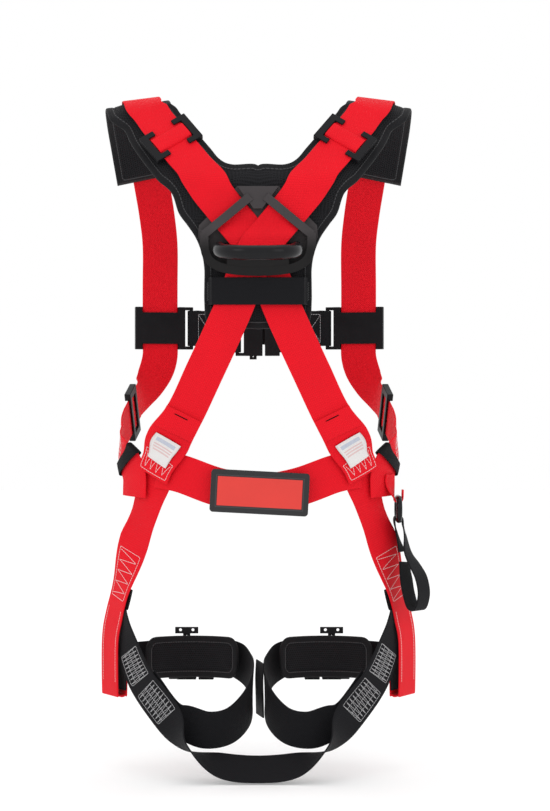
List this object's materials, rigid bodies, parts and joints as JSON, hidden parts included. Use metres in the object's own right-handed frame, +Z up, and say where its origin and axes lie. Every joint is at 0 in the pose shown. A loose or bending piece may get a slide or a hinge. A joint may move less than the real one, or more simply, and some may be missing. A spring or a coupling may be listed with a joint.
{
  "type": "safety harness",
  "caption": "Full-body fall-arrest harness of red and black webbing with a padded yoke, a dorsal D-ring on a crossing plate, chest and leg buckles and a hip accessory loop.",
  "frame": {"origin": "middle of the wearer's waist, in the plane of symmetry of the webbing", "axes": "+X to the wearer's right, +Y to the wearer's front, +Z up"},
  "size_m": [0.3962, 0.33, 0.814],
  "materials": {
    "webbing_red": "woven polyester webbing",
    "webbing_black": "woven polyester webbing",
    "padding": "spacer mesh over foam with bound edges",
    "plastic": "matt moulded plastic",
    "coated_metal": "black dielectric coating",
    "label": "smooth woven label",
    "pouch": "coated fabric with black binding",
    "spring": "drawn wire"
  },
  "bodies": {
    "webbing": {"yoke_pad": "padding", "dorsal_plate": "plastic", "keeper_band": "webbing_black", "shoulder_tab_left": "webbing_black", "shoulder_tab_right": "webbing_black", "shoulder_strap_left": "webbing_red", "shoulder_strap_right": "webbing_red", "hip_strap_left": "webbing_red", "hip_strap_right": "webbing_red", "hip_overlay_left": "webbing_red", "hip_overlay_right": "webbing_red", "hip_label_left": "label", "hip_label_right": "label", "waist_strap": "webbing_red", "seat_strap": "webbing_black", "leg_strap_rear_left": "webbing_black", "leg_strap_rear_right": "webbing_black", "leg_tail_right": "webbing_black", "leg_strap_front_left": "webbing_black", "leg_strap_front_right": "webbing_black", "leg_receiver_left": "coated_metal", "leg_receiver_right": "coated_metal", "leg_spring_left": "spring", "leg_spring_right": "spring", "label_pouch_back": "webbing_black", "label_pages": "label", "accessory_tab": "webbing_red"},
    "dorsal_ring": {"dorsal_ring": "coated_metal"},
    "shoulder_glide_left": {"shoulder_glide_left": "coated_metal"},
    "shoulder_glide_right": {"shoulder_glide_right": "coated_metal"},
    "torso_adjuster_left": {"torso_adjuster_left": "coated_metal"},
    "torso_adjuster_right": {"torso_adjuster_right": "coated_metal"},
    "torso_keeper_left": {"torso_keeper_left": "webbing_black"},
    "torso_keeper_right": {"torso_keeper_right": "webbing_black"},
    "label_cover": {"label_cover": "pouch"},
    "accessory": {"accessory_ring": "coated_metal", "accessory_loop": "webbing_black"},
    "leg_pad_left": {"leg_pad_left": "padding"},
    "leg_pad_right": {"leg_pad_right": "padding"},
    "leg_tongue_left": {"leg_tongue_left": "coated_metal"},
    "leg_tongue_right": {"leg_tongue_right": "coated_metal"},
    "leg_release_left": {"leg_release_left": "coated_metal"},
    "leg_release_right": {"leg_release_right": "coated_metal"},
    "chest": {"chest_slider_left": "coated_metal", "chest_slider_right": "coated_metal", "chest_strap_left": "webbing_black", "chest_strap_right": "webbing_black", "chest_receiver": "coated_metal", "chest_spring_upper": "spring", "chest_spring_lower": "spring"},
    "chest_tongue": {"chest_tongue": "coated_metal"},
    "chest_release_upper": {"chest_release_upper": "coated_metal"},
    "chest_release_lower": {"chest_release_lower": "coated_metal"}
  },
  "joints": [
    {"name": "dorsal_ring_swing", "type": "hinge", "parent": "webbing", "child": "dorsal_ring", "pos_m": [0, -0.129, 0.214], "axis": [1, 0, 0], "range_deg": [-45, 20]},
    {"name": "shoulder_glide_left_slide", "type": "slide", "parent": "webbing", "child": "shoulder_glide_left", "axis": [-0.5777, 0.4092, 0.7063], "range_m": [-0.008, 0.008]},
    {"name": "shoulder_glide_right_slide", "type": "slide", "parent": "webbing", "child": "shoulder_glide_right", "axis": [0.5777, 0.4092, 0.7063], "range_m": [-0.008, 0.008]},
    {"name": "torso_adjuster_left_slide", "type": "slide", "parent": "webbing", "child": "torso_adjuster_left", "axis": [-0.16, -0.89, -0.427], "range_m": [-0.012, 0.01]},
    {"name": "torso_adjuster_right_slide", "type": "slide", "parent": "webbing", "child": "torso_adjuster_right", "axis": [0.16, -0.89, -0.427], "range_m": [-0.012, 0.01]},
    {"name": "torso_keeper_left_slide", "type": "slide", "parent": "webbing", "child": "torso_keeper_left", "axis": [0.3166, -0.4938, -0.8099], "range_m": [-0.004, 0.003]},
    {"name": "torso_keeper_right_slide", "type": "slide", "parent": "webbing", "child": "torso_keeper_right", "axis": [-0.3166, -0.4938, -0.8099], "range_m": [-0.004, 0.003]},
    {"name": "label_cover_hinge", "type": "hinge", "parent": "webbing", "child": "label_cover", "pos_m": [0.00331, -0.1246, -0.04803], "axis": [0.9986, 0, -0.0523], "range_deg": [-150, 0]},
    {"name": "accessory_swing", "type": "hinge", "parent": "webbing", "child": "accessory", "pos_m": [0.1675, -0.058, -0.082], "axis": [0, -1, 0], "range_deg": [0, 70]},
    {"name": "leg_pad_left_turn", "type": "hinge", "parent": "webbing", "child": "leg_pad_left", "pos_m": [-0.083, -0.01, -0.288], "axis": [0, 0, 1], "range_deg": [-8, 8]},
    {"name": "leg_pad_right_turn", "type": "hinge", "parent": "webbing", "child": "leg_pad_right", "pos_m": [0.083, -0.01, -0.288], "axis": [0, 0, 1], "range_deg": [-8, 8]},
    {"name": "leg_tongue_left_slide", "type": "slide", "parent": "webbing", "child": "leg_tongue_left", "axis": [1, 0, 0], "range_m": [0, 0.016]},
    {"name": "leg_tongue_right_slide", "type": "slide", "parent": "webbing", "child": "leg_tongue_right", "axis": [-1, 0, 0], "range_m": [0, 0.016]},
    {"name": "leg_release_left_press", "type": "slide", "parent": "webbing", "child": "leg_release_left", "axis": [0, 0, -1], "range_m": [0, 0.003], "stiffness_N_per_m": 400, "springref_m": -0.002},
    {"name": "leg_release_right_press", "type": "slide", "parent": "webbing", "child": "leg_release_right", "axis": [0, 0, -1], "range_m": [0, 0.003], "stiffness_N_per_m": 400, "springref_m": -0.002},
    {"name": "chest_slide", "type": "slide", "parent": "webbing", "child": "chest", "axis": [0, 0, 1], "range_m": [-0.008, 0.025]},
    {"name": "chest_tongue_slide", "type": "slide", "parent": "chest", "child": "chest_tongue", "axis": [1, 0, 0], "range_m": [0, 0.016]},
    {"name": "chest_release_upper_press", "type": "slide", "parent": "chest", "child": "chest_release_upper", "axis": [0, 0, -1], "range_m": [0, 0.003], "stiffness_N_per_m": 400, "springref_m": -0.002},
    {"name": "chest_release_lower_press", "type": "slide", "parent": "chest", "child": "chest_release_lower", "axis": [0, 0, 1], "range_m": [0, 0.003], "stiffness_N_per_m": 400, "springref_m": -0.002}
  ]
}
